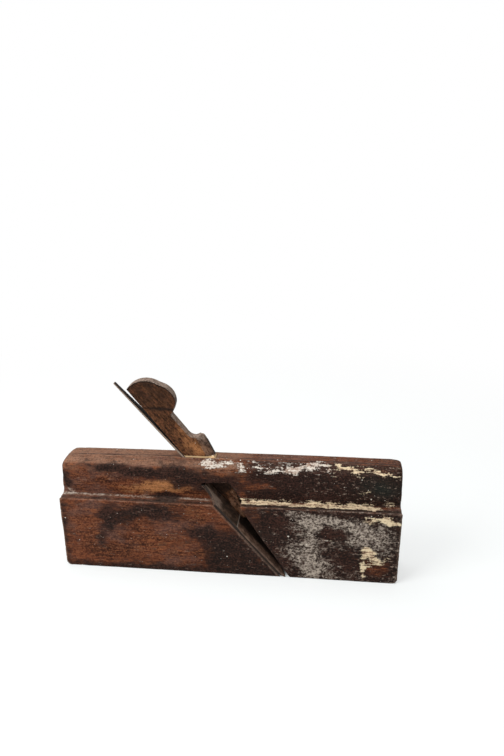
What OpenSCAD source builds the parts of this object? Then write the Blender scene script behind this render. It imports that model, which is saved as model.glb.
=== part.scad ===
// Wooden moulding plane: a stepped hardwood stock, a carved wedge and a tapered iron with a steel face.
// X runs from heel to toe, Y from the open right side to the closed left side, Z up from the sole.

/* [Stock] */
// Length from heel to toe
stock_len = 241.3; // [200:0.1:280]
// Height from sole to top
stock_h = 85.7; // [76:0.1:100]
// Thickness of the lower part
stock_w = 27.5; // [24:0.1:40]
// How far the grip steps in from the right side
step_depth = 9; // [6:0.1:11]
// Height of the ledge above the sole
ledge_h = 56.5; // [50:0.1:60]
// Fall of the top toward the heel
heel_fall = 2; // [0.5:0.1:4]
// Length of the falling part of the top
fall_len = 70; // [40:1:75]
// Radius of the top corner at the heel
heel_round = 9; // [4:0.1:20]
// Radius of the top corner at the toe
toe_round = 2.5; // [1:0.1:8]
// Radius of the bottom corner at each end
sole_round = 4; // [1:0.1:8]

/* [Edges] */
// Width of the broad chamfer along the top right edge
top_chamfer = 6.3; // [2:0.1:8]
// Width of the small chamfer along the top left edge
left_chamfer = 2; // [0.5:0.1:3.5]
// Length along the grip of the chamfer at the heel, at its foot
heel_chamfer = 10; // [3:0.1:10]
// Lean of the heel's chamfer, which narrows it toward the top
heel_lean = 20; // [0:1:30]
// Length along the grip of the chamfer at the toe
toe_chamfer = 4.8; // [3:0.1:10]
// Depth of each chamfer into the end of the grip, at its foot
chamfer_depth = 1; // [0.5:0.1:1.4]
// Radius of the gouge cut that stops each chamfer
gouge_r = 2.6; // [2:0.1:4]
// Length of the gouge cut along the grip
gouge_run = 10.5; // [10.2:0.1:16]
// Depth of the gouge cut into the end of the grip
gouge_depth = 1.6; // [1.5:0.1:2]
// Height of the gouge cut's lower side above the ledge
gouge_gap = 0.3; // [0.2:0.1:1]
// Width of the quirk cut along the ledge
quirk_w = 1.6; // [0.6:0.1:3]
// Depth of the quirk
quirk_depth = 1.2; // [0.4:0.1:2.5]
// Width of the fillet outside the quirk
fillet_w = 2.2; // [1:0.1:4]

/* [Sole] */
// Width of the flat strip on the right of the hollow
right_strip = 2; // [1:0.1:4]
// Depth of the hollow
hollow_depth = 2.4; // [1:0.1:4]

/* [Throat] */
// Angle of the bed that carries the iron
bed_angle = 50; // [45:0.5:54]
// Angle of the front of the mortise
breast_angle = 58; // [56:0.5:62]
// Place of the bed on the sole, forward of the middle
bed_x = 38.1; // [20:0.1:50]
// Opening of the mouth between bed and front
mouth_gap = 6.2; // [5:0.1:9]
// Width of the mortise for tang and wedge
mortise_w = 7.4; // [6.5:0.1:9]
// Thickness of the wall left of the mortise
left_wall = 4.5; // [3:0.1:6]
// Height of the side opening at the bed
side_back_h = 68.6; // [60:0.1:72]
// Height of the side opening at the front
side_front_h = 69.8; // [62:0.1:76]

/* [Iron] */
// Length of the iron along the bed
iron_len = 184; // [150:0.5:220]
// Thickness at the cutting edge
iron_edge_t = 2.8; // [2:0.1:4]
// Thickness at the end of the tang
tang_end_t = 1.1; // [0.8:0.1:3]
// Width at the end of the tang
tang_end_w = 3; // [2:0.1:6]
// Length of the narrowed end of the tang
taper_len = 40; // [20:1:80]
// Angle of the whetted bevel
bevel_angle = 30; // [25:1:35]
// Height of the cutting edge above the sole when the iron is drawn back
edge_lift = 0.2; // [0.1:0.05:1]
// Length of the full-width blade, measured up the bed from the sole
blade_len = 73.5; // [60:0.5:76]
// Length of the curved flare from the full width of the blade to the face of the grip
flare_len = 12.5; // [11.5:0.5:18]
// Distance up the bed from the sole to the shoulder where the flare gives way to the tang
shoulder_len = 86; // [80:0.5:86]
// Length of the steel face, measured up the bed from the sole
steel_len = 50; // [30:0.5:56]
// Thickness of the steel face
steel_t = 1; // [0.5:0.1:1.5]
// Length of the sloped end of the steel face
scarf_len = 6; // [2:0.5:12]

/* [Wedge] */
// Height above the sole of the wedge's point
point_h = 38; // [34:0.5:46]
// Thickness of the wedge's point
point_t = 2.4; // [1.5:0.1:3]
// Height at which the wedge's front starts to slope back to the point
slope_h = 68; // [60:0.5:74]
// Angle of the wedge's back above the stock
relief_angle = 52; // [51:0.5:54]
// Angle of the wedge's front above the stock
shoulder_angle = 64; // [60:0.5:68]
// Height of the shoulder above the stock
shoulder_h = 16; // [10:0.5:24]
// Thickness of the neck
neck_t = 13.6; // [10:0.1:18]
// Radius of the cove under the neck
cove_r = 6; // [3:0.1:9]
// Height of the shoulder's lip below the cove
lip_h = 2.2; // [1:0.1:5]
// Radius of the rounded head
head_r = 16.6; // [12:0.1:20]
// Distance of the head's middle from the stock along the wedge
head_reach = 47; // [40:0.5:60]
// Distance of the head's middle from the wedge's back
head_set = 5; // [3:0.1:10]
// Radius of the lobe on the front of the head
lobe_r = 13; // [8:0.1:16]
// Distance of the lobe's middle from the stock along the wedge
lobe_reach = 43; // [36:0.5:56]
// Distance of the lobe's middle from the wedge's back
lobe_set = 11.3; // [8:0.1:14]
// Width of the chamfer down the right edge of the front, on the right face
front_chamfer = 5.4; // [1:0.1:7]
// Depth of that chamfer into the front
front_depth = 3.4; // [0.5:0.1:6]
// Height above the stock where that chamfer stops
chamfer_stop = 1; // [0.5:0.1:4]

/* [Fit] */
// Clearance on each side of the iron and the wedge
side_clear = 0.3; // [0.1:0.05:0.6]
// Clearance between the wedge and the faces it tightens on
face_clear = 0.1; // [0.05:0.05:0.3]
// Clearance between the iron and the bed
bed_clear = 0.05; // [0.02:0.01:0.2]

/* [Hidden] */
$fn = 96;
// How far a cut runs past the surface it opens
over = 1;
// Share of its radius by which a round overshoots the face it meets, which leaves a faint edge there
bite = 0.03;
// Share of its radius by which the web of the wedge's head stays inside each disc
web_sink = 0.01;

// Faces of the stock
right_y = -stock_w / 2;
left_y = stock_w / 2;
grip_y = right_y + step_depth;
heel_x = -stock_len / 2;
toe_x = stock_len / 2;
// Height of the top where the round of the heel begins
heel_top = stock_h - heel_fall * (1 - heel_round / fall_len);

// Walls of the mortise
mortise_left = left_y - left_wall;
mortise_right = mortise_left - mortise_w;

// Faces of the tang, the blade and the wedge across the stock
cutter_left = mortise_left - side_clear;
tang_right = mortise_right + side_clear;
blade_right = right_y + side_clear;
root_right = grip_y + side_clear;
wedge_right = mortise_right + side_clear;
wedge_w = mortise_w - 2 * side_clear;

// Hollow of the sole, an arc between the two flat strips
hollow_right = right_y + right_strip;
hollow_half = (mortise_left - hollow_right) / 2;
hollow_y = (mortise_left + hollow_right) / 2;
hollow_r = (hollow_half * hollow_half + hollow_depth * hollow_depth) / (2 * hollow_depth);

// Cutting edge: the place on the bed where the front of the iron comes down to the sole
clear_angle = bed_angle - bevel_angle;
edge_off = iron_edge_t + bed_clear;
edge_run = (edge_off * cos(bed_angle) - edge_lift) / sin(bed_angle);
edge_x = bed_x + edge_run * cos(bed_angle) + edge_off * sin(bed_angle);
tang_end = iron_len - edge_run;
// Thickness of the plate that the iron is shaped from, and how far it runs down past the bed's foot
blank_t = 3 * iron_edge_t;
blank_run = edge_run + over;
// Place down the bed where the scarf of the steel reaches its full depth
scarf_end = scarf_len - steel_len;
// Angle at which the flare turns off the face of the grip
flare_turn = 12;

// Places of the sloped faces at a given height
function bed_at(z) = bed_x - z / tan(bed_angle);
function breast_at(z) = bed_x + mouth_gap - z / tan(breast_angle);

// Top of the side opening at a given place along the stock
cheek_slope = (side_front_h - side_back_h) / (breast_at(side_front_h) - bed_at(side_back_h));
function cheek_at(x) = side_back_h + cheek_slope * (x - bed_at(side_back_h));

// Thickness of the iron at a given distance up the bed
function iron_t(s) = iron_edge_t - (iron_edge_t - tang_end_t) * (s + edge_run) / iron_len;

// Front of the iron at a given height, found from its thickness there
function iron_front_at(z) = bed_at(z) + (iron_t(z / sin(bed_angle)) + bed_clear) / sin(bed_angle);

// Wedge where it leaves the stock, and how far its shoulder stands forward of its back there
wedge_back_x = iron_front_at(stock_h) + face_clear;
wedge_front_x = breast_at(stock_h) - face_clear;
shoulder_run = wedge_front_x - wedge_back_x - shoulder_h / tan(shoulder_angle);
// Distance of the shoulder up the wedge's back
shoulder_s = shoulder_h * sin(relief_angle) - shoulder_run * cos(relief_angle);

// Place that is n across the wedge and s up its back from the top of the stock
function on_wedge(n, s) = [
  wedge_back_x + n * sin(relief_angle) - s * cos(relief_angle),
  stock_h + n * cos(relief_angle) + s * sin(relief_angle)
];

// Draws a side outline, X and Z, as a solid from y0 to y1
module across(y0, y1) {
  translate([0, y1, 0])
    rotate([90, 0, 0])
      linear_extrude(height = y1 - y0)
        children();
}

// Draws an end outline, Y and Z, as a solid over the length of the stock
module along() {
  translate([heel_x, 0, 0])
    rotate([90, 0, 90])
      linear_extrude(height = stock_len)
        children();
}

// Turns a shape so that its X runs down the bed and its Z stands off the bed, and lays it on the bed
module on_bed() {
  translate([bed_x, 0, 0])
    rotate([0, bed_angle, 0])
      translate([0, 0, bed_clear])
        children();
}

// A square corner less its round, to be cut away, with the corner at the origin and the stock at -X, -Y
module corner_waste(r) {
  middle = -r * (1 - bite);
  translate([middle, middle])
    difference() {
      square(r + over);
      circle(r);
    }
}

// End outline of the stock with the step, the ledge quirk and the top chamfers
module stock_outline() {
  difference() {
    polygon([
      [right_y, 0],
      [left_y, 0],
      [left_y, stock_h - left_chamfer],
      [left_y - left_chamfer, stock_h],
      [grip_y + top_chamfer, stock_h],
      [grip_y, stock_h - top_chamfer],
      [grip_y, ledge_h],
      [right_y, ledge_h]
    ]);
    polygon([
      [right_y + fillet_w, ledge_h],
      [right_y + fillet_w, ledge_h - quirk_depth],
      [right_y + fillet_w + quirk_w, ledge_h]
    ]);
    translate([hollow_y, hollow_depth - hollow_r])
      circle(hollow_r);
  }
}

// Rounds of the four end corners and the fall of the top, seen from the side
module end_waste() {
  translate([toe_x, stock_h])
    corner_waste(toe_round);
  translate([toe_x, 0])
    mirror([0, 1])
      corner_waste(sole_round);
  translate([heel_x, 0])
    rotate(180)
      corner_waste(sole_round);
  translate([heel_x, heel_top])
    mirror([1, 0])
      corner_waste(heel_round);
  polygon([
    [heel_x + fall_len, stock_h],
    [heel_x, stock_h - heel_fall],
    [heel_x - over, stock_h - heel_fall],
    [heel_x - over, stock_h + over],
    [heel_x + fall_len, stock_h + over]
  ]);
}

// Shallow chamfer down the toe end of the grip, stopped by a gouge cut above the ledge
module grip_chamfer(run, lean) {
  stop_h = ledge_h + gouge_gap + gouge_r;
  intersection() {
    translate([0, right_y, stop_h])
      cube([stock_len, stock_w, stock_h]);
    translate([toe_x - run, grip_y, stop_h])
      rotate([0, lean, 0])
        rotate(atan(chamfer_depth / (run * cos(lean))))
          translate([-over, -stock_w, -stock_h])
            cube([stock_len, stock_w, 2 * stock_h]);
  }
  translate([toe_x, grip_y + gouge_depth, stop_h])
    rotate(atan(gouge_depth / gouge_run))
      translate([0, -gouge_r, 0])
        rotate([0, 90, 0])
          cylinder(h = 2 * stock_w, r = gouge_r, center = true);
}

// Slot from bed to front through the whole height, as wide as the mortise and the side opening together
module slot() {
  across(right_y - over, mortise_left)
    polygon([
      [bed_at(-over), -over],
      [breast_at(-over), -over],
      [breast_at(stock_h + over), stock_h + over],
      [bed_at(stock_h + over), stock_h + over]
    ]);
}

// Wood that stays right of the mortise, above the sloped top of the side opening
module cheek() {
  across(right_y - 2 * over, mortise_right)
    polygon([
      [heel_x, cheek_at(heel_x)],
      [toe_x, cheek_at(toe_x)],
      [toe_x, 2 * stock_h],
      [heel_x, 2 * stock_h]
    ]);
}

module stock() {
  color("saddlebrown")
    difference() {
      along()
        stock_outline();
      across(right_y - over, left_y + over)
        end_waste();
      mirror([1, 0, 0])
        grip_chamfer(heel_chamfer, heel_lean);
      grip_chamfer(toe_chamfer, 0);
      difference() {
        slot();
        cheek();
      }
    }
}

// Waste beside the flare, with X down the bed: a disc, and all that lies up the bed from its middle
module flare_waste() {
  flare_drop = root_right - blade_right;
  flare_span = flare_len * flare_len + flare_drop * flare_drop;
  flare_r = flare_span / (2 * (flare_drop * cos(flare_turn) - flare_len * sin(flare_turn)));
  flare_x = -blade_len - flare_len - flare_r * sin(flare_turn);
  translate([flare_x, root_right - flare_r * cos(flare_turn)])
    circle(flare_r);
  translate([-tang_end - over, blade_right - over])
    square([tang_end + over + flare_x, flare_drop + over]);
}

// Face of the iron on the bed, with X down the bed: tang with a narrow end, shoulder, flare and blade
module iron_face() {
  difference() {
    polygon([
      [-tang_end, blade_right],
      [blank_run + over, blade_right],
      [blank_run + over, cutter_left],
      [taper_len - tang_end, cutter_left],
      [-tang_end, tang_right + tang_end_w]
    ]);
    translate([-tang_end - over, blade_right - over])
      square([tang_end + over - shoulder_len, tang_right - blade_right + over]);
    flare_waste();
  }
}

// Side section of the iron's body, tapering toward the tang, less the steel, with X down the bed
module iron_section() {
  polygon([
    [-tang_end - over, 0],
    [blank_run, 0],
    [blank_run, iron_t(-blank_run) - steel_t],
    [scarf_end, iron_t(-scarf_end) - steel_t],
    [-steel_len, iron_t(steel_len)],
    [-tang_end - over, iron_t(tang_end + over)]
  ]);
}

// Side section of the steel face, ending in a scarf
module steel_section() {
  polygon([
    [-steel_len, iron_t(steel_len)],
    [scarf_end, iron_t(-scarf_end) - steel_t],
    [blank_run, iron_t(-blank_run) - steel_t],
    [blank_run, iron_t(-blank_run)]
  ]);
}

// Waste below the whetted bevel, following the hollow of the sole
module whetting() {
  translate([edge_x, 0, edge_lift])
    rotate([0, clear_angle, 0]) {
      translate([0, 0, -stock_w / 2])
        cube([2 * stock_w, 2 * stock_w, stock_w], center = true);
      translate([0, hollow_y, hollow_depth - hollow_r])
        rotate([0, 90, 0])
          cylinder(h = 2 * stock_w, r = hollow_r, center = true);
    }
}

// The full iron before it is divided into body and steel
module cutter() {
  difference() {
    on_bed()
      intersection() {
        translate([0, 0, -over])
          linear_extrude(height = blank_t)
            iron_face();
        across(blade_right - over, cutter_left + over)
          children();
      }
    whetting();
  }
}

module iron() {
  color("dimgray")
    cutter()
      iron_section();
}

module cutting_steel() {
  color("silver")
    cutter()
      steel_section();
}

// Rounded head of the wedge, with X across the wedge and Y up its back: two discs and the web between them
module wedge_head() {
  gap = [lobe_set - head_set, lobe_reach - head_reach];
  web_angle = atan2(gap[1], gap[0]) + acos((head_r - lobe_r) / norm(gap));
  web = (1 - web_sink) * [cos(web_angle), sin(web_angle)];
  translate([head_set, head_reach])
    circle(head_r);
  translate([lobe_set, lobe_reach])
    circle(lobe_r);
  polygon([
    [head_set, head_reach],
    [lobe_set, lobe_reach],
    [lobe_set, lobe_reach] + lobe_r * web,
    [head_set, head_reach] + head_r * web
  ]);
}

// Waste behind the wedge: its back bears on the iron in the mortise and leans away from it above
module back_waste() {
  back_end = head_reach + head_r + over;
  polygon([
    [iron_front_at(point_h - over) + face_clear, point_h - over],
    [wedge_back_x, stock_h],
    on_wedge(0, back_end),
    on_wedge(-2 * head_r, back_end),
    [wedge_back_x - 2 * head_r, point_h - over]
  ]);
}

// Side outline of the wedge
module wedge_outline() {
  cove_x = neck_t + cove_r * (1 - bite);
  cove_y = shoulder_s + lip_h + cove_r;
  difference() {
    union() {
      polygon([
        [iron_front_at(point_h), point_h],
        [iron_front_at(point_h) + face_clear + point_t, point_h],
        [breast_at(slope_h) - face_clear, slope_h],
        [wedge_front_x, stock_h],
        [wedge_back_x + shoulder_run, stock_h + shoulder_h],
        on_wedge(cove_x, shoulder_s + lip_h),
        on_wedge(cove_x, cove_y),
        on_wedge(neck_t, cove_y),
        on_wedge(neck_t, head_reach),
        on_wedge(-over, head_reach),
        [wedge_back_x - over, stock_h]
      ]);
      translate([wedge_back_x, stock_h])
        rotate(90 - relief_angle)
          wedge_head();
    }
    back_waste();
    translate(on_wedge(cove_x, cove_y))
      circle(cove_r);
  }
}

// Waste of the chamfer down the right edge of the wedge's front
module chamfer_waste() {
  fall = front_depth / front_chamfer;
  translate([wedge_front_x, wedge_right, stock_h])
    rotate([0, shoulder_angle - 90, 0])
      translate([0, 0, chamfer_stop])
        linear_extrude(height = 2 * shoulder_h)
          polygon([
            [-front_chamfer - over, -over * fall],
            [over, -over * fall],
            [over, front_depth + over * fall]
          ]);
}

module wedge() {
  color("sienna")
    difference() {
      across(wedge_right, wedge_right + wedge_w)
        wedge_outline();
      chamfer_waste();
    }
}

stock();
wedge();
iron();
cutting_steel();
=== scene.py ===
"""Looks of an old wooden moulding plane: worn stock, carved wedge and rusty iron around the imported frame."""

import math
from types import SimpleNamespace

import bpy
import numpy as np
from mathutils import Euler, Matrix, Vector


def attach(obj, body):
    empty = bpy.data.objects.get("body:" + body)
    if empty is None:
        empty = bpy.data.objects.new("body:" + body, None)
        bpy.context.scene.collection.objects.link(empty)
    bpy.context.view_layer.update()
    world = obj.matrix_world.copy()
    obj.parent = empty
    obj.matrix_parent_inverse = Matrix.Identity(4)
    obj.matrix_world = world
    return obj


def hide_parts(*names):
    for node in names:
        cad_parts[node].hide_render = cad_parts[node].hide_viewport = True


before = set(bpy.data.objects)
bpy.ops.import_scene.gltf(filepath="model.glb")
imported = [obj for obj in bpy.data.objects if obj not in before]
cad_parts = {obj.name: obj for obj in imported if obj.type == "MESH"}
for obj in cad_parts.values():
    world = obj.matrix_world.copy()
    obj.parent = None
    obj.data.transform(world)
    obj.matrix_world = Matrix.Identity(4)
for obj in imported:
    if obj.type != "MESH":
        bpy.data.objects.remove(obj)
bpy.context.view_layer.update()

MM = 0.001


def node_box(node):
    """Lowest and highest corner of a CAD node, in millimetres."""
    points = np.array([vertex.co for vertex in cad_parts[node].data.vertices]) / MM
    return points.min(0).round(3), points.max(0).round(3)


# Places on the part in millimetres: X to the toe, Y to the closed left side, Z up from the sole
STOCK_LOW, STOCK_HIGH = node_box("stock")
WEDGE_LOW, WEDGE_HIGH = node_box("wedge")
RIGHT_Y = STOCK_LOW[1]
TOE_X = STOCK_HIGH[0]
TOP_Z = STOCK_HIGH[2]
STEP_DEPTH = 9
GRIP_Y = RIGHT_Y + STEP_DEPTH
LEDGE_Z = 56.5
WEDGE_Y = WEDGE_LOW[1]

# Clearance beside the wedge and the iron, and what follows from it: the blade's side and the mortise's walls
SIDE_CLEAR = 0.3
BLADE_Y = RIGHT_Y + SIDE_CLEAR
MORTISE_Y = WEDGE_Y - SIDE_CLEAR
LEFT_WALL_Y = WEDGE_HIGH[1] + SIDE_CLEAR

# Bed and breast, with their places on the sole, and the top of the side opening
BED_ANGLE = math.radians(50)
BED_X = 38.1
MOUTH_GAP = 6.2
BREAST_ANGLE = math.radians(58)
BREAST_X = BED_X + MOUTH_GAP
CHEEK_Z = 68.6
CHEEK_SLOPE = 0.06
OFF_BED = (math.sin(BED_ANGLE), 0, math.cos(BED_ANGLE))

# Lengths up the bed from the sole: to the upper end of the steel, and to the shoulder of the iron
STEEL_LENGTH = 50
SHOULDER_LENGTH = 86
# Where painted shade darkens the steel, toward the inside of the throat, and where the painted shade on its
# side ends
STEEL_SHADE_Y = (-9, -5)
STEEL_SIDE_SHADE_Y = (BLADE_Y + 0.05, BLADE_Y + 0.35)

# Point of the wedge, which is painted lighter as if lit: how far its back is off the bed, the slope of that
# higher up the bed, and its end
POINT_OFF = 2.6
POINT_SLOPE = 0.345
POINT_SLOPE_FROM = 60
POINT_END = (68, 72)

# Cells of the worn meshes in millimetres; those of the stock are longer along X, by one over its stretch
STOCK_CELL = 0.58
STOCK_STRETCH = (0.4, 1, 1)
WEDGE_CELL = 0.4
IRON_CELL = 0.35

# Depths of wear in millimetres
STOCK_WAVE = 0.5
CHIP_DEPTH = 0.9
DENT_DEPTH = 0.35
WEDGE_WAVE = 0.35
WEDGE_RUB = 0.1

# Camera, in millimetres and degrees, fitted to the corners of the stock in the photo, and then to its outline
CAMERA_PLACE = (60.144, -399.4375, 297.4644)
CAMERA_TURN = (69.5033, 0.4518, 5.9392)
CAMERA_LENS = 30.797
CAMERA_SENSOR = 36
CAMERA_CLIP = 0.01

# Floor in metres: a sheet that curves up behind the object
FLOOR_HALF_WIDTH = 3.0
FLOOR_FRONT = -2.4
FLOOR_BACK = 1.6
FLOOR_CURVE = 1.0
FLOOR_TOP = 2.6
FLOOR_STEPS = 16
# Distances from the object's middle over which the floor turns white, and its share of white before that
GLOW_FROM = 0.1
GLOW_TO = 0.6
GLOW_NEAR = 0.62
# Soft edges of the place under the stock, which stays dark
FOOT_X = (0.119, 0.121)
FOOT_Y = (0.0125, 0.0140)

# Lamps in metres and watts: name, place, aim, width and power
LAMPS = (
    ("key", (-0.6, -0.45, 0.75), (0, 0, 0.04), 0.5, 8.0),
    ("top", (-0.1, 0.15, 0.95), (0, 0, 0.05), 0.7, 4.0),
)
# Strength of the white all round, as light on the object
SKY_LEVEL = 0.5
# Rays that meet the white of the background, while other rays meet its light
SEEN_BY = ("Is Camera Ray", "Is Glossy Ray", "Is Transmission Ray")

# Gloss of oiled wood that has gone dull, and of rusty iron
WOOD_GLOSS = {"Specular IOR Level": 0.06}
IRON_GLOSS = {"Metallic": 0.1, "Specular IOR Level": 0.15}

# Colours, linear
WHITE = (1, 1, 1, 1)
FLOOR_COLOUR = (0.84, 0.89, 0.88, 1)
REDDISH = (0.170, 0.051, 0.023, 1)
RED_DEEP = (0.050, 0.017, 0.009, 1)
ORANGE = (0.27, 0.096, 0.037, 1)
GOLDEN = (0.41, 0.175, 0.068, 1)
PURPLE = (0.130, 0.062, 0.047, 1)
TAN = (0.25, 0.130, 0.082, 1)
# Soot, and also the painted shade in the stock's hollows and on the wedge
SOOT_AND_SHADE = (0.0130, 0.0085, 0.0070, 1)
RED_SOOT = (0.036, 0.016, 0.012, 1)
GREEN_BLACK = (0.013, 0.019, 0.016, 1)
SPECKLE = (0.28, 0.24, 0.22, 1)
DUST = (0.165, 0.113, 0.088, 1)
PALE_DUST = (0.27, 0.20, 0.16, 1)
CREAM = (0.70, 0.56, 0.37, 1)
WHITE_PAINT = (0.64, 0.575, 0.50, 1)
CHALK_DARK = (0.135, 0.102, 0.085, 1)
CHALK_LIGHT = (0.42, 0.35, 0.29, 1)
SPECK = (0.72, 0.66, 0.58, 1)
WEDGE_DARK = (0.036, 0.016, 0.008, 1)
WEDGE_LIGHT = (0.150, 0.062, 0.027, 1)
# Painted glint along the wedge's foot
FOOT_GLINT = (0.62, 0.42, 0.23, 1)
# Dark rust, and also the painted shade on the iron and on the steel's side
SHADE_AND_RUST_BLACK = (0.020, 0.013, 0.010, 1)
RUST_DARK = (0.040, 0.027, 0.020, 1)
RUST_BROWN = (0.145, 0.086, 0.058, 1)
RUST_RED = (0.150, 0.064, 0.033, 1)
# Painted light on the iron's lit faces
LIT_IRON = (0.28, 0.205, 0.160, 1)
# Worn iron, and a painted highlight at the upper end of the steel
WORN_AND_HIGHLIGHT_IRON = (0.40, 0.335, 0.275, 1)
STEEL_SHADE = (0.010, 0.007, 0.005, 1)
STEEL_DARK = (0.125, 0.070, 0.050, 1)
STEEL_LIGHT = (0.310, 0.185, 0.130, 1)

# Spots in millimetres: x, y, z, reach in x, y and z, and strength
DARK_SPOTS = [
    (-85, RIGHT_Y, 39, 7, 6, 13, 1.0),
    (-92, RIGHT_Y, 24, 4, 6, 6, 0.6),
    (-71, RIGHT_Y, 45, 8, 6, 5, 0.8),
    (-54, RIGHT_Y, 51, 14, 6, 4, 0.5),
    (-18, RIGHT_Y, 34, 10, 6, 6, 0.9),
    (-9, RIGHT_Y, 18, 9, 6, 15, 0.9),
    (-42, RIGHT_Y, 2, 70, 6, 5, 0.5),
    (-119, RIGHT_Y, 30, 3, 12, 26, 0.5),
    (-85, GRIP_Y, 79, 14, 6, 3.5, 1.1),
    (-60, GRIP_Y, 75, 16, 6, 5, 0.95),
    (-33, GRIP_Y, 70, 10, 5, 5, 0.9),
    (-36, GRIP_Y, 77, 15, 6, 5, 0.8),
    (-8, GRIP_Y, 68, 16, 6, 8, 1.0),
    (-50, RIGHT_Y, 47, 26, 6, 7, 0.55),
    (6, RIGHT_Y, 20, 11, 6, 18, 0.8),
    (-117, GRIP_Y, 67, 4, 6, 7, 0.9),
    (26, GRIP_Y, 69, 13, 3, 4, -0.75),
    (105, RIGHT_Y, 12, 12, 4, 9, -0.8),
    (118.5, RIGHT_Y, 25, 2.5, 6, 30, 0.5),
]
BURN_SPOTS = [
    (-44, GRIP_Y - 1, 57, 8, 5, 2.6, 1.8),
]
GREEN_SPOTS = [
    (106, GRIP_Y, 71, 13, 5, 8, 1.0),
]
GOLD_SPOTS = [
    (-44, GRIP_Y, 65, 18, 4, 6, 1.1),
    (-66, GRIP_Y, 62, 16, 4, 3.5, 0.6),
    (-20, RIGHT_Y, 48, 9, 4, 5, 0.55),
    (-48, RIGHT_Y, 20, 26, 4, 12, 0.25),
]
CREAM_SPOTS = [
    (-15, -1, 83, 5, 4, 2.5, 0.85),
    (-3, -1, 83, 7, 4, 2.5, 0.50),
    (9, -1, 83, 5, 4, 3, 0.75),
    (29, -3, 81, 8, 4, 4, 0.50),
    (46, -2, 82, 9, 4, 3, 0.90),
    (61, -0.3, 84, 9, 4, 2, 0.95),
    (82, -2, 82.5, 14, 3, 1.6, 1.00),
    (106, -3.4, 81, 13, 3, 1.1, 0.85),
    (104, RIGHT_Y, 52, 13, 4, 4, 1.00),
    (115, RIGHT_Y, 50, 6, 4, 2, 0.90),
    (99, RIGHT_Y, 25, 6, 4, 5, 1.15),
    (108, RIGHT_Y, 20, 8, 4, 3, 0.95),
    (103, RIGHT_Y, 15, 6, 4, 2, 0.60),
    (97, RIGHT_Y, 10, 2.5, 4, 9, 0.95),
    (70, RIGHT_Y, 34, 5, 4, 1.5, 0.75),
    (112, GRIP_Y, 59, 6, 4, 3, 0.80),
    (97, GRIP_Y, 66, 4.5, 3, 1.6, 0.95),
]
CHALK_SPOTS = [
    (47, RIGHT_Y, 54, 6, 4, 3, 0.70),
    (58, RIGHT_Y, 47, 11, 4, 6, 0.75),
    (73, RIGHT_Y, 48, 9, 4, 5, 0.65),
    (89, RIGHT_Y, 43, 11, 4, 6, 0.58),
    (101, RIGHT_Y, 38, 12, 4, 7, 0.45),
    (109, RIGHT_Y, 32, 7, 4, 9, 0.32),
    (60, RIGHT_Y, 29, 5, 4, 14, 0.70),
    (47, RIGHT_Y, 22, 9, 4, 10, 0.55),
    (62, RIGHT_Y, 9, 10, 4, 11, 0.75),
    (90, RIGHT_Y, 31, 14, 4, 6, 0.28),
    (33, RIGHT_Y, 35, 4, 4, 2, 0.45),
    (70, RIGHT_Y, 40, 4, 4, 3, -0.80),
    (77, RIGHT_Y, 37, 5, 4, 3, -0.80),
    (83, RIGHT_Y, 19, 9, 4, 10, -0.50),
    (106, RIGHT_Y, 11, 8, 4, 6, -1.20),
    (-115, GRIP_Y, 58.5, 5, 3, 2, 0.80),
]
WEDGE_GOLD_SPOTS = [
    (-20, WEDGE_Y, 92, 11, 5, 7, 0.9),
    (-30, WEDGE_Y, 104, 9, 5, 8, 0.5),
]
WEDGE_DARK_SPOTS = [
    (-18, WEDGE_Y, 100, 5, 4, 6, 0.9),
    (-27, WEDGE_Y, 90, 3, 4, 3, 0.5),
    (-45, WEDGE_Y, 121, 9, 4, 1.2, 0.6),
]
# Strength of the thin paint and chalk between their spots
THIN_PAINT = 0.22
THIN_CHALK = 0.374


# Noise

# Odd factors that scramble the places of a lattice
SCRAMBLE = np.array([374761393, 668265263, 2147483647])
SCRAMBLE_SEED = 974711
SCRAMBLE_AGAIN = 1274126177
LAST_BITS = 0xFFFF


def lattice_noise(points, seed):
    """Smooth noise from 0 to 1 at points, one step of the lattice long."""
    cell = np.floor(points).astype(np.int64)
    part = points - cell
    part = part * part * (3 - 2 * part)
    total = np.zeros(len(points))
    for corner in range(8):
        step = np.array([corner & 1, corner >> 1 & 1, corner >> 2 & 1])
        mixed = (cell + step) @ SCRAMBLE + seed * SCRAMBLE_SEED
        mixed = (mixed ^ (mixed >> 13)) * SCRAMBLE_AGAIN
        value = ((mixed ^ (mixed >> 16)) & LAST_BITS) / LAST_BITS
        weight = np.prod(np.where(step, part, 1 - part), axis=1)
        total += value * weight
    return total


def cloud(points, length, seed, octaves=3):
    """Layered noise from 0 to 1, with lumps about length long, in the units of points."""
    total, gain, amount = np.zeros(len(points)), 0.0, 1.0
    scaled = points / np.asarray(length, float)
    for octave in range(octaves):
        total += amount * lattice_noise(scaled * 2**octave, seed + octave)
        gain += amount
        amount *= 0.5
    return total / gain


def smoothstep(value, low, high):
    """0 below low, 1 above high, and a smooth rise between them."""
    t = np.clip((value - low) / (high - low), 0, 1)
    return t * t * (3 - 2 * t)


def band(value, low, high, soft):
    """1 from low to high, falling to 0 over soft on both sides."""
    return smoothstep(value, low - soft, low) * (1 - smoothstep(value, high, high + soft))


def bends(points, reach, length, seed):
    """Points moved about by noise, so that the spots drawn on them have ragged outlines."""
    return points + reach * np.stack([cloud(points, length, seed + axis) - 0.5 for axis in (1, 11, 21)], 1)


def patches(points, spots):
    """Sum of soft spots, each (x, y, z, reach in x, reach in y, reach in z, strength)."""
    total = np.zeros(len(points))
    for x, y, z, rx, ry, rz, strength in spots:
        off = (points - (x, y, z)) / (rx, ry, rz)
        total += strength * np.exp(-(off * off).sum(1))
    return total


# Meshes


def added(name, data):
    """A new object in the scene."""
    thing = bpy.data.objects.new(name, data)
    bpy.context.scene.collection.objects.link(thing)
    return thing


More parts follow.
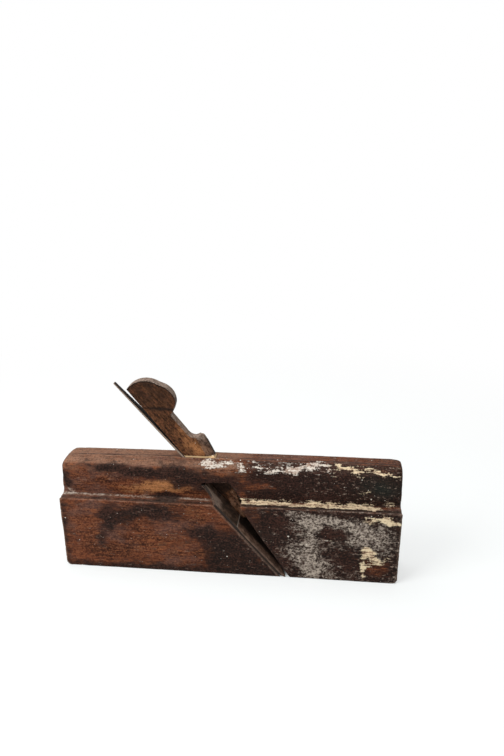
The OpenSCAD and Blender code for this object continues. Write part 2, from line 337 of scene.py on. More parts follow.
def refined(node, name, cell, stretch=(1, 1, 1)):
    """A new object with the node's shape on an even mesh, whose cells are cell over stretch long."""
    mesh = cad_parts[node].data.copy()
    mesh.transform(Matrix.Diagonal((*stretch, 1)))
    piece = added(name, mesh)
    modifier = piece.modifiers.new("even", "REMESH")
    modifier.mode = "VOXEL"
    modifier.voxel_size = cell * MM
    modifier.use_smooth_shade = True
    depsgraph = bpy.context.evaluated_depsgraph_get()
    even = bpy.data.meshes.new_from_object(piece.evaluated_get(depsgraph))
    piece.modifiers.clear()
    even.transform(Matrix.Diagonal((*(1 / share for share in stretch), 1)))
    piece.data = even
    even.materials.clear()
    return piece


class Skin:
    """A mesh as arrays in millimetres, for wear that is worked out over all its points at once."""

    def __init__(self, piece):
        self.mesh = piece.data
        count = len(self.mesh.vertices)
        flat = np.zeros(count * 3)
        self.mesh.vertices.foreach_get("co", flat)
        self.co = flat.reshape(-1, 3) / MM
        ends = np.zeros(len(self.mesh.edges) * 2, np.int64)
        self.mesh.edges.foreach_get("vertices", ends)
        self.a, self.b = ends.reshape(-1, 2).T
        self.valence = np.maximum(np.bincount(np.r_[self.a, self.b], minlength=count), 1)

    def spread(self, values):
        """The mean of each point's neighbours."""
        values = values.reshape(len(self.co), -1)
        total = np.zeros_like(values)
        np.add.at(total, self.a, values[self.b])
        np.add.at(total, self.b, values[self.a])
        return total / self.valence[:, None]

    def smoothed(self, values, times, share=0.5):
        """Values after some steps toward the mean of the neighbours."""
        values = values.reshape(len(self.co), -1)
        for _ in range(times):
            values = values + share * (self.spread(values) - values)
        return values

    def soften(self, weight, times):
        """Smooth the surface, as far as weight says at each point."""
        self.co = self.co + weight[:, None] * (self.smoothed(self.co, times) - self.co)

    def normals(self):
        self.store()
        flat = np.zeros(len(self.co) * 3)
        self.mesh.vertices.foreach_get("normal", flat)
        return flat.reshape(-1, 3)

    def convexity(self, times):
        """How far each point stands out of the surface smoothed around it, in millimetres."""
        return ((self.co - self.smoothed(self.co, times)) * self.normals()).sum(1)

    def store(self):
        """Put the points back into the mesh."""
        self.mesh.vertices.foreach_set("co", (self.co * MM).ravel())
        self.mesh.update()

    def paint(self, name, values):
        """Keep values from 0 to 1 on the mesh, for a material's mask of this name."""
        attribute = self.mesh.attributes.new(name, "FLOAT", "POINT")
        attribute.data.foreach_set("value", np.clip(values, 0, 1).astype(np.float32))


# Materials

# Sockets of the Mix node that hold colours
MIX_A, MIX_B, MIXED = 6, 7, 2


class Nodes:
    """The nodes of one tree, with one short call for each kind."""

    def __init__(self, tree):
        self.tree = tree

    def node(self, kind, inputs=None, **settings):
        made = self.tree.nodes.new(kind)
        for key, value in settings.items():
            setattr(made, key, value)
        for key, value in (inputs or {}).items():
            self.put(made.inputs[key], value)
        return made

    def put(self, socket, value):
        if isinstance(value, bpy.types.NodeSocket):
            self.tree.links.new(value, socket)
        else:
            socket.default_value = value

    def sum(self, *values):
        total = values[0]
        for value in values[1:]:
            total = self.node("ShaderNodeMath", {0: total, 1: value}, operation="ADD").outputs[0]
        return total

    def times(self, a, b):
        return self.node("ShaderNodeMath", {0: a, 1: b}, operation="MULTIPLY").outputs[0]

    def less(self, a, b):
        return self.node("ShaderNodeMath", {0: a, 1: b}, operation="SUBTRACT").outputs[0]

    def seen(self):
        """1 for the rays that meet the white of the background, 0 for the others."""
        path = self.node("ShaderNodeLightPath").outputs
        return self.sum(*(path[kind] for kind in SEEN_BY))


class Shader(Nodes):
    """A material's nodes. Noise and specks are counted in lumps per metre."""

    def __init__(self, name):
        self.material = bpy.data.materials.new(name)
        self.material.use_nodes = True
        super().__init__(self.material.node_tree)
        self.tree.nodes.clear()
        self.output = self.tree.nodes.new("ShaderNodeOutputMaterial")
        self.place = self.tree.nodes.new("ShaderNodeTexCoord").outputs["Object"]

    def turned(self, scale, shift=0.0, turn=(0, 0, 0)):
        """The place on the object, turned and then scaled, so that 1 is one lump of a texture."""
        mapped = self.node("ShaderNodeMapping", {"Vector": self.place, "Rotation": turn})
        scaled = self.node("ShaderNodeMapping", {"Vector": mapped.outputs[0], "Scale": scale})
        scaled.inputs["Location"].default_value = (shift, shift, shift)
        return scaled.outputs[0]

    def noise(self, scale, shift=0.0, detail=4.0, rough=0.55, bend=0.0, turn=(0, 0, 0)):
        look = {"Scale": 1.0, "Detail": detail, "Roughness": rough, "Distortion": bend}
        made = self.node("ShaderNodeTexNoise", {"Vector": self.turned(scale, shift, turn), **look})
        return made.outputs["Fac"]

    def specks(self, per_metre, share, reach):
        """Round specks in a share of the cells of a grid, at most reach of a cell wide."""
        made = self.node("ShaderNodeTexVoronoi", {"Vector": self.turned((per_metre,) * 3), "Scale": 1.0})
        chance = self.node("ShaderNodeSeparateColor", {0: made.outputs["Color"]}).outputs
        size = self.times(self.step(chance["Red"], 1 - share, 1.0), reach)
        return self.step(self.less(size, made.outputs["Distance"]), 0.0, 0.03)

    def mask(self, name):
        """The values that Skin.paint put on the mesh under this name."""
        return self.node("ShaderNodeAttribute", attribute_name=name).outputs["Fac"]

    def step(self, value, low, high, bottom=0.0, top=1.0):
        """bottom below low, top above high, and a smooth rise between them."""
        made = self.node(
            "ShaderNodeMapRange",
            {"Value": value, "From Min": low, "From Max": high, "To Min": bottom, "To Max": top},
            interpolation_type="SMOOTHSTEP",
        )
        return made.outputs["Result"]

    def mix(self, share, a, b, blend="MIX"):
        made = self.node("ShaderNodeMix", data_type="RGBA", blend_type=blend)
        self.put(made.inputs["Factor"], share)
        self.put(made.inputs[MIX_A], a)
        self.put(made.inputs[MIX_B], b)
        return made.outputs[MIXED]

    def along(self, axis):
        """The place on the object along one axis, in metres."""
        return self.node("ShaderNodeSeparateXYZ", {0: self.place}).outputs[axis]

    def upward(self):
        """How far the surface faces up, in the world, from -1 to 1."""
        normal = self.node("ShaderNodeNewGeometry").outputs["Normal"]
        return self.node("ShaderNodeSeparateXYZ", {0: normal}).outputs["Z"]

    def bump(self, height, depth_mm):
        made = self.node("ShaderNodeBump", {"Height": height, "Strength": 1.0, "Distance": depth_mm * MM})
        return made.outputs["Normal"]

    def finish(self, colour, roughness, normal, gloss):
        look = {"Base Color": colour, "Roughness": roughness, "Normal": normal, **gloss}
        shader = self.node("ShaderNodeBsdfPrincipled", look)
        self.put(self.output.inputs["Surface"], shader.outputs[0])
        return self.material


def stock_noise(s):
    """The noises of the stock's wood. Those that end in -ed run around 0, to break up the edges of masks."""
    w = SimpleNamespace(
        grain=s.noise((45, 620, 620), detail=6, rough=0.62, bend=0.3),
        mottle=s.noise((150, 240, 240), shift=3.1, detail=7, rough=0.70),
        grit=s.noise((760, 940, 940), shift=6.3, detail=2, rough=0.6),
        pores=s.noise((260, 2400, 2400), shift=7.7, detail=3),
        broad=s.noise((36, 62, 62), shift=11.3, detail=4, rough=0.6),
        flakes=s.noise((250, 330, 330), shift=2.2, detail=8, rough=0.74),
        streaks=s.noise((110, 760, 760), shift=9.1, detail=5, rough=0.66),
        fibre=s.noise((130, 1300, 1300), shift=4.9, detail=3, rough=0.6),
        haze=s.noise((24, 46, 46), shift=17.7, detail=6, rough=0.62),
        scratch=s.noise((330, 1000, 1000), shift=21.3, detail=3, rough=0.6),
    )
    w.mottled, w.gritted, w.flaked, w.streaked, w.broadened = (
        s.less(wave, 0.5) for wave in (w.mottle, w.grit, w.flakes, w.streaks, w.broad)
    )
    return w


def bare_wood(s, w):
    """Red to orange wood with a purple haze, golden and tan patches, pores and fibres."""
    tone = s.sum(s.times(w.grain, 0.30), s.times(w.mottle, 0.22), s.times(w.grit, 0.13))
    tone = s.sum(tone, s.times(w.broad, 0.35))
    wood = s.mix(s.step(tone, 0.42, 0.56), RED_DEEP, REDDISH)
    wood = s.mix(s.step(tone, 0.54, 0.65, 0.0, 0.65), wood, ORANGE)
    wood = s.mix(s.step(s.sum(w.haze, s.times(w.mottled, 0.3)), 0.47, 0.62, 0.0, 0.85), wood, PURPLE)
    gold = s.sum(s.mask("gold"), s.times(w.mottled, 1.6), w.streaked, w.gritted)
    wood = s.mix(s.step(gold, 0.2, 1.0), wood, GOLDEN)
    wood = s.mix(s.step(s.sum(s.mask("bare"), s.times(w.mottled, 1.8)), 0.2, 0.9), wood, TAN)
    wood = s.mix(s.step(w.pores, 0.60, 0.70, 0.0, 0.6), wood, RED_DEEP)
    wood = s.mix(s.step(w.fibre, 0.52, 0.66, 0.0, 0.38), wood, ORANGE)
    return s.mix(s.step(w.grit, 0.54, 0.68, 0.0, 0.42), wood, ORANGE)


def aged_wood(s, w):
    """Bare wood under soot, with flecks, scuffs, painted shade in hollows, worn edges and dust."""
    darkening = s.sum(s.mask("dark"), s.times(w.mottled, 2.3), s.times(w.gritted, 0.9))
    darkening = s.sum(darkening, s.times(w.broadened, 1.3))
    red = s.sum(s.times(w.mottle, 0.5), s.times(w.broad, 0.5), w.gritted)
    black = s.mix(s.step(red, 0.42, 0.58), SOOT_AND_SHADE, RED_SOOT)
    black = s.mix(s.mask("green"), black, GREEN_BLACK)
    aged = s.mix(s.step(darkening, 0.20, 0.78, 0.0, 0.95), bare_wood(s, w), black)
    fleck = s.sum(w.streaked, s.times(w.mottled, 0.5), s.times(w.gritted, 0.5))
    aged = s.mix(s.step(fleck, 0.12, 0.26, 0.0, 0.55), aged, DUST)
    scuff = s.step(s.sum(w.scratch, s.times(w.mottled, 0.5)), 0.62, 0.68, 0.0, 0.95)
    aged = s.mix(s.times(scuff, s.mask("scuff")), aged, PALE_DUST)
    # Painted shade in hollows, in the throat and along the ledge's quirk
    hollow = s.sum(s.mask("hollow"), s.times(w.mottled, 0.5))
    aged = s.mix(s.step(hollow, 0.15, 0.65, 0.0, 0.94), aged, SOOT_AND_SHADE)
    worn = s.step(s.sum(s.mask("worn"), s.times(w.flaked, 1.6)), 0.3, 0.85, 0.0, 0.75)
    aged = s.mix(worn, aged, s.mix(s.mask("dark"), TAN, DUST))
    dust = s.times(s.step(s.upward(), 0.35, 0.95), s.step(w.flakes, 0.36, 0.66, 0.02, 0.36))
    aged = s.mix(dust, aged, DUST)
    aged = s.mix(s.step(w.fibre, 0.38, 0.54, 0.42, 0.0), aged, SPECKLE, "MULTIPLY")
    return s.mix(s.step(w.grit, 0.36, 0.54, 0.55, 0.0), aged, SPECKLE, "MULTIPLY")


def old_paint(s, w):
    """How far paint covers the wood, and its colour: thin grey chalk or thick cream."""
    thick = s.mask("cream")
    level = s.sum(s.mask("paint"), s.times(w.flaked, 1.6), s.times(w.streaked, 0.9), s.times(w.mottled, 0.8))
    level = s.sum(level, w.gritted, s.times(thick, s.times(w.streaked, 1.2)))
    cover = s.step(level, s.step(thick, 0.0, 1.0, 0.30, 0.46), s.step(thick, 0.0, 1.0, 1.15, 0.76))
    powder = s.sum(s.times(w.flakes, 0.5), s.times(w.grit, 0.5))
    chalk = s.mix(s.step(powder, 0.42, 0.60), CHALK_DARK, CHALK_LIGHT)
    chalk = s.mix(s.step(w.grit, 0.36, 0.52, 0.6, 0.0), chalk, SPECKLE, "MULTIPLY")
    cream = s.mix(s.step(s.sum(s.mask("yellow"), w.mottled), 0.3, 0.7), WHITE_PAINT, CREAM)
    stain = s.sum(w.mottle, s.times(w.gritted, 0.8), w.streaked)
    cream = s.mix(s.step(stain, 0.36, 0.60, 0.8, 0.0), cream, TAN)
    return cover, s.mix(thick, chalk, cream)


def stock_wood():
    s = Shader("stock_wood")
    w = stock_noise(s)
    cover, paint = old_paint(s, w)
    colour = s.mix(cover, aged_wood(s, w), paint)
    colour = s.mix(s.times(s.specks(230, share=0.14, reach=0.15), 0.9), colour, SPECK)
    strength = s.step(s.mask("scuff"), 0.0, 0.8, 0.25, 0.85)
    colour = s.mix(s.times(s.specks(430, share=0.20, reach=0.18), strength), colour, SPECK)
    height = s.sum(s.times(w.grain, 0.4), s.times(w.pores, 0.3), s.times(cover, 0.8), s.times(w.grit, 0.5))
    roughness = s.sum(s.step(w.mottle, 0.35, 0.65, 0.46, 0.66), s.times(cover, 0.25))
    return s.finish(colour, roughness, s.bump(height, depth_mm=0.35), WOOD_GLOSS)


def wedge_wood():
    s = Shader("wedge_wood")
    along = (0, -BED_ANGLE, 0)
    grain = s.noise((60, 700, 700), detail=6, rough=0.62, bend=0.3, turn=along)
    mottle = s.noise((190, 330, 330), shift=3.7, detail=6, rough=0.70, turn=along)
    grit = s.noise((520, 760, 760), shift=6.9, detail=4, rough=0.72, turn=along)
    pores = s.noise((300, 2400, 2400), shift=9.7, detail=3, turn=along)
    mottled, gritted = s.less(mottle, 0.5), s.less(grit, 0.5)

    tone = s.sum(s.times(grain, 0.55), s.times(mottle, 0.45))
    wood = s.mix(s.step(tone, 0.39, 0.60), WEDGE_DARK, WEDGE_LIGHT)
    wood = s.mix(s.step(s.sum(s.mask("gold"), s.times(mottled, 1.5)), 0.2, 0.9), wood, GOLDEN)
    wood = s.mix(s.step(pores, 0.58, 0.70, 0.0, 0.6), wood, RED_DEEP)
    wood = s.mix(s.step(grit, 0.50, 0.66, 0.0, 0.5), wood, REDDISH)
    # Soot on the head, and painted shade below the stock's top and on the shoulder's front
    darkening = s.sum(s.mask("dark"), s.times(mottled, 1.8), s.times(gritted, 0.7))
    colour = s.mix(s.step(darkening, 0.2, 0.9, 0.0, 0.9), wood, SOOT_AND_SHADE)
    for mask, dust in (("worn", DUST), ("rubbed", PALE_DUST)):
        rubbed = s.step(s.sum(s.mask(mask), s.times(mottled, 1.4)), 0.3, 0.85, 0.0, 0.7)
        colour = s.mix(rubbed, colour, dust)
    settled = s.times(s.step(s.upward(), 0.3, 0.9), s.step(mottle, 0.36, 0.64, 0.25, 0.75))
    colour = s.mix(settled, colour, PALE_DUST)
    colour = s.mix(s.step(grit, 0.37, 0.58, 0.85, 0.0), colour, SPECKLE, "MULTIPLY")
    # Painted glint along the wedge's foot
    painted_glint = s.sum(s.mask("painted_glint"), s.times(gritted, 1.5))
    colour = s.mix(s.step(painted_glint, 0.2, 0.8, 0.0, 0.9), colour, FOOT_GLINT)
    colour = s.mix(s.times(s.specks(260, share=0.10, reach=0.13), 0.8), colour, SPECK)
    height = s.sum(s.times(grain, 0.5), s.times(pores, 0.4), s.times(grit, 0.4))
    roughness = s.step(mottle, 0.35, 0.65, 0.42, 0.62)
    return s.finish(colour, roughness, s.bump(height, depth_mm=0.3), WOOD_GLOSS)


def wrought_iron():
    s = Shader("wrought_iron")
    rust = s.noise((240, 240, 240), detail=7, rough=0.70)
    pits = s.noise((900, 900, 900), shift=4.4, detail=4, rough=0.7)
    rusted, pitted = s.less(rust, 0.5), s.less(pits, 0.5)
    colour = s.mix(s.step(rust, 0.40, 0.60), RUST_DARK, RUST_BROWN)
    colour = s.mix(s.step(pits, 0.52, 0.68, 0.0, 0.6), colour, RUST_RED)
    # Dark rust on the blade's side, and painted shade
    colour = s.mix(s.step(s.sum(s.mask("rust_and_shade"), s.times(pitted, 0.8)), 0.2, 0.9), colour, SHADE_AND_RUST_BLACK)
    # Painted light on the iron's lit faces
    painted_light = s.sum(s.mask("painted_light"), s.times(pitted, 1.2), rusted)
    colour = s.mix(s.step(painted_light, 0.2, 0.9, 0.0, 0.9), colour, LIT_IRON)
    # Worn edges, and a painted highlight at the upper end of the steel
    worn = s.sum(s.mask("worn"), s.times(pitted, 1.2))
    colour = s.mix(s.step(worn, 0.25, 0.8, 0.0, 0.9), colour, WORN_AND_HIGHLIGHT_IRON)
    height = s.sum(s.times(rust, 0.6), s.times(pits, 0.5))
    roughness = s.step(pits, 0.3, 0.7, 0.5, 0.75)
    return s.finish(colour, roughness, s.bump(height, depth_mm=0.4), IRON_GLOSS)


def tool_steel():
    s = Shader("tool_steel")
    stain = s.noise((300, 300, 300), detail=6, rough=0.68)
    pits = s.noise((1100, 1100, 1100), shift=6.4, detail=4, rough=0.7)
    colour = s.mix(s.step(stain, 0.40, 0.60), STEEL_DARK, STEEL_LIGHT)
    colour = s.mix(s.step(pits, 0.54, 0.70, 0.0, 0.5), colour, RUST_RED)
    across = s.along("Y")
    # Painted shade toward the inside of the throat
    shade_from, shade_to = (y * MM for y in STEEL_SHADE_Y)
    colour = s.mix(s.step(across, shade_from, shade_to, 0.0, 0.9), colour, STEEL_SHADE)
    # Painted shade on the steel's side
    side_from, side_to = (y * MM for y in STEEL_SIDE_SHADE_Y)
    colour = s.mix(s.step(across, side_from, side_to, 0.6, 0.0), colour, SHADE_AND_RUST_BLACK)
    height = s.sum(s.times(stain, 0.5), s.times(pits, 0.5))
    roughness = s.step(pits, 0.3, 0.7, 0.42, 0.68)
    return s.finish(colour, roughness, s.bump(height, depth_mm=0.2), IRON_GLOSS)


# Pieces


def along_bed(x, z):
    """Distances up the bed from the sole, and off the bed."""
    forward = x - BED_X
    up_bed = z * math.sin(BED_ANGLE) - forward * math.cos(BED_ANGLE)
    off_bed = z * math.cos(BED_ANGLE) + forward * math.sin(BED_ANGLE)
    return up_bed, off_bed


def bed_at(z):
    return BED_X - z / math.tan(BED_ANGLE)


def breast_at(z):
    return BREAST_X - z / math.tan(BREAST_ANGLE)


def in_throat(x, y, z):
    """1 on the faces inside the throat and the mortise, 0 on the outside of the stock."""
    cheek = CHEEK_Z + CHEEK_SLOPE * (x - bed_at(CHEEK_Z))
    between = band(x, bed_at(z) - 0.5, breast_at(z) + 0.5, soft=0.3)
    deep = smoothstep(y, RIGHT_Y + 0.8, RIGHT_Y + 2.5) * (1 - smoothstep(z, cheek - 1, cheek))
    mortise = smoothstep(y, MORTISE_Y - 1, MORTISE_Y) * (1 - smoothstep(z, TOP_Z - 2, TOP_Z - 1))
    inside = 1 - smoothstep(y, LEFT_WALL_Y + 0.3, LEFT_WALL_Y + 1)
    return between * np.maximum(deep, mortise) * inside


def wear_stock(skin):
    """Round, wave, chip and dent the stock. Returns the smooth surface and masks of it, to paint by."""
    skin.co = skin.smoothed(skin.co, times=2)
    x, y, z = skin.co.T
    shoulder = band(z, TOP_Z - 10, TOP_Z - 3, soft=3) * band(y, GRIP_Y - 1, GRIP_Y + 3, soft=3)
    ends = smoothstep(abs(x), TOE_X - 9, TOE_X - 2) * smoothstep(z, LEDGE_Z + 8, LEDGE_Z + 14)
    skin.soften(np.clip(shoulder + 0.7 * ends, 0, 1), times=40)

    stand_out = skin.convexity(times=8)
    edge = smoothstep(skin.smoothed(np.clip(stand_out, 0, None), times=1)[:, 0], 0.05, 0.35)
    hollow = smoothstep(skin.smoothed(np.clip(-stand_out, 0, None), times=2)[:, 0], 0.04, 0.30)
    normal = skin.normals()
    co = skin.co.copy()
    wave = (cloud(co, length=(40, 14, 14), seed=1, octaves=2) - 0.5) * STOCK_WAVE
    chips = edge * smoothstep(cloud(co, length=(7, 3, 3), seed=9), 0.55, 0.85) * CHIP_DEPTH
    dents = smoothstep(cloud(co, length=(9, 5, 5), seed=61), 0.66, 0.85) * DENT_DEPTH
    skin.co = co + normal * (wave - chips - dents)[:, None]
    skin.store()
    return SimpleNamespace(co=co, normal=normal, shoulder=shoulder, edge=edge, hollow=hollow)


def mark_stock(m):
    """Add masks of the stock's faces, strips and lines, and of the painted shade along the ledge's quirk, to
    those of its wear.
    """
    x, y, z = m.co.T
    upward = smoothstep(m.normal[:, 2], 0.5, 0.9)
    m.near = smoothstep(-m.normal[:, 1], 0.3, 0.8)
    m.toe_half = smoothstep(x + 16 * (cloud(m.co, length=14, seed=51) - 0.5), -4, 34)
    m.heel_half = 1 - m.toe_half
    m.top = upward * smoothstep(z, TOP_Z - 8, TOP_Z - 4)
    # A dark line along the top face
    m.crease = m.top * band(y, 2.4, 3.6, soft=0.3)
    ledge = upward * band(z, LEDGE_Z - 2, LEDGE_Z + 2, soft=1)
    m.inner = ledge * smoothstep(bends(m.co, reach=1.2, length=3, seed=70)[:, 1], GRIP_Y - 3.2, GRIP_Y - 2.4)
    m.arris = ledge * (1 - smoothstep(y, RIGHT_Y + 1.2, RIGHT_Y + 1.8))
    # Painted shade along the quirk on the outer part of the ledge
    m.gutter = band(z, LEDGE_Z - 2, LEDGE_Z, soft=1) * band(y, RIGHT_Y + 1.8, RIGHT_Y + 4.4, soft=0.6)

    ragged = bends(m.co, reach=3.5, length=3, seed=71)
    wall = m.near * band(ragged[:, 2], LEDGE_Z - 1, LEDGE_Z + 2, soft=1.2)
    wall *= smoothstep(y, GRIP_Y - 2, GRIP_Y - 1)
    strip = np.maximum(0.6 * wall, ledge * smoothstep(ragged[:, 1], GRIP_Y - 5.2, GRIP_Y - 4.2))
    m.cream_band = strip * band(x, 9, 104, soft=5)

    breast = breast_at(z)
    below_cheek = 1 - smoothstep(z, CHEEK_Z, CHEEK_Z + 3)
    m.throat_edge = m.near * band(x, breast - 3, breast + 3, soft=1) * below_cheek


def paint_stock(skin, m):
    """Soot, golden and bare wood, paint, chalk and scuffs, and painted shade in hollows, in the throat and
    along the ledge's quirk.
    """
    x, y, z = m.co.T
    bent = bends(m.co, reach=9, length=9, seed=20)
    torn = bends(bent, reach=5, length=4, seed=25)
    burn = patches(bends(m.co, reach=3, length=4, seed=75), BURN_SPOTS)

    cream = patches(torn, CREAM_SPOTS) + 0.85 * m.cream_band
    cream += THIN_PAINT * band(z, TOP_Z - 7, TOP_Z - 1, soft=1) * m.near * smoothstep(x, -30, 0)
    chalk = patches(torn, CHALK_SPOTS)
    chalk += THIN_CHALK * m.near * smoothstep(x, 25, 60) * (1 - smoothstep(z, 50, 57))
    chalk += 0.7 * m.inner * m.heel_half + 0.55 * m.arris * smoothstep(x, 45, 70)

    dark = 0.15 + patches(bent, DARK_SPOTS) + 0.95 * m.toe_half * (0.35 + 0.65 * m.near)
    # Darker towards the sole and on the end faces
    dark += 0.30 * smoothstep(-z, -6, -1) + 0.35 * smoothstep(abs(m.normal[:, 0]), 0.5, 0.9)
    far_stains = smoothstep(cloud(m.co, length=(34, 20, 13), seed=33), 0.45, 0.75)
    dark += smoothstep(m.normal[:, 1], 0.5, 0.9) * far_stains
    scuffs = smoothstep(cloud(m.co, length=(30, 14, 14), seed=81), 0.40, 0.60)
    gutter = (0.45 + 0.35 * m.toe_half) * m.gutter

    skin.paint("dark", dark * (1 - 0.5 * m.top) * (1 - 0.8 * m.inner) + 0.6 * m.crease + burn)
    skin.paint("gold", patches(bent, GOLD_SPOTS))
    skin.paint("scuff", m.toe_half * scuffs)
    skin.paint("bare", (0.8 * m.top + 0.5 * m.shoulder + 0.9 * m.inner) * m.heel_half - burn)
    skin.paint("paint", np.maximum(cream, chalk) - burn)
    skin.paint("cream", smoothstep(cream - chalk, -0.1, 0.25))
    skin.paint("yellow", m.cream_band + smoothstep(x, 55, 90))
    skin.paint("green", patches(bent, GREEN_SPOTS))
    skin.paint("worn", m.edge * (1 - 0.9 * m.throat_edge))
    # Painted shade in hollows, in the throat and along the ledge's quirk
    skin.paint("hollow", np.maximum.reduce([m.hollow, gutter, in_throat(x, y, z)]))


def build_stock():
    piece = refined("stock", "stock_worn", STOCK_CELL, STOCK_STRETCH)
    skin = Skin(piece)
    marks = wear_stock(skin)
    mark_stock(marks)
    paint_stock(skin, marks)
    return piece


def wear_wedge(skin):
    """Round the front edge of the wedge's neck and rub down what stands above the stock."""
    skin.co = skin.smoothed(skin.co, times=3)
    beside_front = skin.smoothed(smoothstep(skin.normals() @ OFF_BED, 0.3, 0.7), times=14)[:, 0]
    neck = smoothstep(beside_front, 0.05, 0.3) * band(skin.co[:, 2], TOP_Z + 15, TOP_Z + 36, soft=4)
    skin.soften(neck, times=36)
    edge = smoothstep(skin.convexity(times=10), 0.05, 0.35)
    normal = skin.normals()
    co = skin.co.copy()
    above = smoothstep(co[:, 2], TOP_Z - 1, TOP_Z + 1)
    wear = np.clip((cloud(co, length=12, seed=3, octaves=2) - 0.5) * WEDGE_WAVE, -1, 0) - WEDGE_RUB
    skin.co = co + normal * (wear * above)[:, None]
    skin.store()
    rubbed = neck * smoothstep(normal @ OFF_BED, 0.15, 0.5)
    return SimpleNamespace(co=co, normal=normal, edge=edge, rubbed=rubbed)


def paint_wedge(skin, m):
    """Dark head and shoulder, painted shade below the stock's top and on the shoulder's front, a painted glint
    along the foot, and the point in the throat painted lighter as if lit.
    """
    x, _, z = m.co.T
    up_bed, off_bed = along_bed(x, z)
    bent = bends(m.co, reach=6, length=8, seed=22)
    # Painted glint along the foot, where the wedge meets the stock's top
    foot_glint = band(z, TOP_Z - 0.4, TOP_Z + 0.5, soft=0.3)
    crown = smoothstep(m.normal[:, 2], 0.1, 0.4) * smoothstep(z, TOP_Z + 26, TOP_Z + 32)
    rim = smoothstep(-m.normal[:, 1], 0.6, 0.9) * smoothstep(skin.smoothed(crown, times=6)[:, 0], 0.02, 0.2)
    shoulder = band(z, TOP_Z + 1, TOP_Z + 15, soft=1)
    chamfer = shoulder * band(m.normal[:, 0], 0.3, 0.7, soft=0.15)
    # Painted shadow line on the front face of the shoulder
    front = shoulder * smoothstep(m.normal[:, 0], 0.75, 0.9)
    # The point that shows in the throat is painted lighter, as if lit
    point_back = POINT_OFF + POINT_SLOPE * np.clip(up_bed - POINT_SLOPE_FROM, 0, None)
    lit_point = smoothstep(off_bed - point_back, -0.4, 0.4) * (1 - smoothstep(up_bed, *POINT_END))
    # Painted shade on the wedge below the stock's top, except at the point
    deep = (1 - smoothstep(z, TOP_Z - 4, TOP_Z - 2)) * (1 - lit_point)
    dark = 0.12 + 0.40 * smoothstep(z, 108, 128) + 0.7 * deep + 0.8 * front + 0.9 * rim
    edge = m.edge * (1 - 0.8 * deep) * (1 - rim)

    # Gold and wear on the point are painted light
    skin.paint("gold", patches(bent, WEDGE_GOLD_SPOTS) + 0.35 * lit_point)
    skin.paint("dark", dark + patches(bent, WEDGE_DARK_SPOTS) - 0.3 * chamfer)
    skin.paint("worn", np.maximum.reduce([edge, 0.75 * chamfer, crown, 0.5 * lit_point]))
    skin.paint("rubbed", np.maximum(m.rubbed, crown))
    skin.paint("painted_glint", foot_glint)


def build_wedge():
    piece = refined("wedge", "wedge_worn", WEDGE_CELL)
    skin = Skin(piece)
    paint_wedge(skin, wear_wedge(skin))
    return piece


def build_iron():
    piece = refined("iron", "iron_worn", IRON_CELL)
    skin = Skin(piece)
    skin.co = skin.smoothed(skin.co, times=2)
    edge = smoothstep(skin.convexity(times=5), 0.10, 0.28)
    normal = skin.normals()
    x, y, z = skin.co.T
    up_bed, _ = along_bed(x, z)
    tang = smoothstep(up_bed, SHOULDER_LENGTH, SHOULDER_LENGTH + 4)
    side = smoothstep(-normal[:, 1], 0.6, 0.9)
    front = smoothstep(normal[:, 0], 0.4, 0.7)
    # Painted highlight across the front face at the upper end of the steel
    steel_end_highlight = front * band(up_bed, STEEL_LENGTH - 0.2, STEEL_LENGTH + 0.7, soft=0.3)
    # Painted shade deeper in on the front face; painted light stronger higher up
    shade = smoothstep(y, -4.2, -2.6)
    upper = smoothstep(up_bed, 62, 76)
    # Dark rust on the blade's side; painted shade on the tang's front under the wedge, and deeper in on the
    # front face
    skin.paint("rust_and_shade", side * (1 - tang) + front * np.maximum(tang, 0.3 * shade))
    # Painted light on the tang's side and on the front face below the tang
    skin.paint("painted_light", side * tang + front * (1 - tang) * (1 - shade) * (0.15 + 0.7 * upper))
    skin.paint("worn", edge * (0.5 + 0.5 * tang) + steel_end_highlight)
    return piece


# Stage, light and camera


def pale_floor():
    """Pale paper that turns to white away from the object, and keeps its shadow."""
    s = Shader("pale_floor")
    paper = s.node("ShaderNodeBsdfDiffuse", {"Color": FLOOR_COLOUR})
    glow = s.node("ShaderNodeEmission", {"Color": WHITE, "Strength": 1.0})
    off_x, off_y = (s.node("ShaderNodeMath", {0: s.along(axis)}, operation="ABSOLUTE") for axis in "XY")
    under_x = s.step(off_x.outputs[0], *FOOT_X, 1.0, 0.0)
    under = s.times(under_x, s.step(off_y.outputs[0], *FOOT_Y, 1.0, 0.0))
    away = s.node("ShaderNodeVectorMath", {0: s.place}, operation="LENGTH").outputs["Value"]
    white = s.times(s.step(away, GLOW_FROM, GLOW_TO, GLOW_NEAR, 1.0), s.less(1.0, under))
    share = s.times(s.seen(), white)
    mixed = s.node("ShaderNodeMixShader", {0: share, 1: paper.outputs[0], 2: glow.outputs[0]})
    s.put(s.output.inputs["Surface"], mixed.outputs[0])
    return s.material


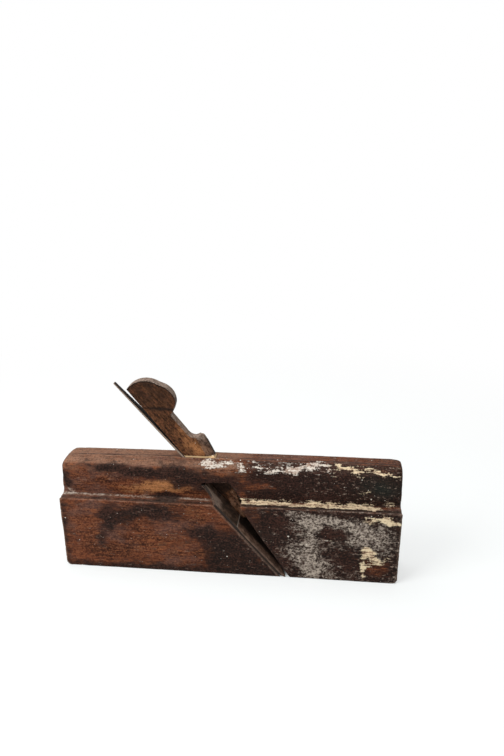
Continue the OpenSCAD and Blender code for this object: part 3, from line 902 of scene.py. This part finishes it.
def stage():
    profile = [(FLOOR_FRONT, 0.0)]
    for i in range(FLOOR_STEPS + 1):
        turn = math.pi / 2 * i / FLOOR_STEPS
        profile.append((FLOOR_BACK + FLOOR_CURVE * math.sin(turn), FLOOR_CURVE * (1 - math.cos(turn))))
    profile.append((FLOOR_BACK + FLOOR_CURVE, FLOOR_TOP))
    points = [(x, y, z) for y, z in profile for x in (-FLOOR_HALF_WIDTH, FLOOR_HALF_WIDTH)]
    faces = [(2 * i, 2 * i + 1, 2 * i + 3, 2 * i + 2) for i in range(len(profile) - 1)]
    mesh = bpy.data.meshes.new("floor")
    mesh.from_pydata(points, [], faces)
    mesh.shade_smooth()
    mesh.materials.append(pale_floor())
    added("floor", mesh)


def area_lamp(name, place, aim, width, power):
    lamp = bpy.data.lights.new(name, "AREA")
    lamp.size = width
    lamp.energy = power
    holder = added(name, lamp)
    holder.location = place
    holder.rotation_euler = (Vector(aim) - Vector(place)).to_track_quat("-Z", "Y").to_euler()


def light():
    world = bpy.data.worlds.new("studio")
    bpy.context.scene.world = world
    world.use_nodes = True
    nodes = Nodes(world.node_tree)
    background = world.node_tree.nodes["Background"]
    level = nodes.node("ShaderNodeMapRange", {"Value": nodes.seen(), "To Min": SKY_LEVEL})
    nodes.put(background.inputs["Color"], WHITE)
    nodes.put(background.inputs["Strength"], level.outputs["Result"])
    for lamp in LAMPS:
        area_lamp(*lamp)


def camera():
    lens = bpy.data.cameras.new("camera")
    lens.lens = CAMERA_LENS
    lens.sensor_width = CAMERA_SENSOR
    lens.clip_start = CAMERA_CLIP
    holder = added("camera", lens)
    turn = Euler([math.radians(angle) for angle in CAMERA_TURN])
    holder.matrix_world = Matrix.LocRotScale(Vector(CAMERA_PLACE) * MM, turn, None)
    bpy.context.scene.camera = holder


camera()
stage()
light()

PIECES = (
    (build_stock, "stock", "stock", "stock_wood", stock_wood),
    (build_wedge, "wedge", "wedge", "wedge_wood", wedge_wood),
    (build_iron, "iron", "cutter", "wrought_iron", wrought_iron),
)
for build, node, body, slot, finish in PIECES:
    made = build()
    made.data.materials.append(finish())
    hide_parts(node)
    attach(made, body)

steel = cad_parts["cutting_steel"]
steel.data.materials.clear()
steel.data.materials.append(tool_steel())

bpy.context.scene.view_settings.view_transform = "Standard"
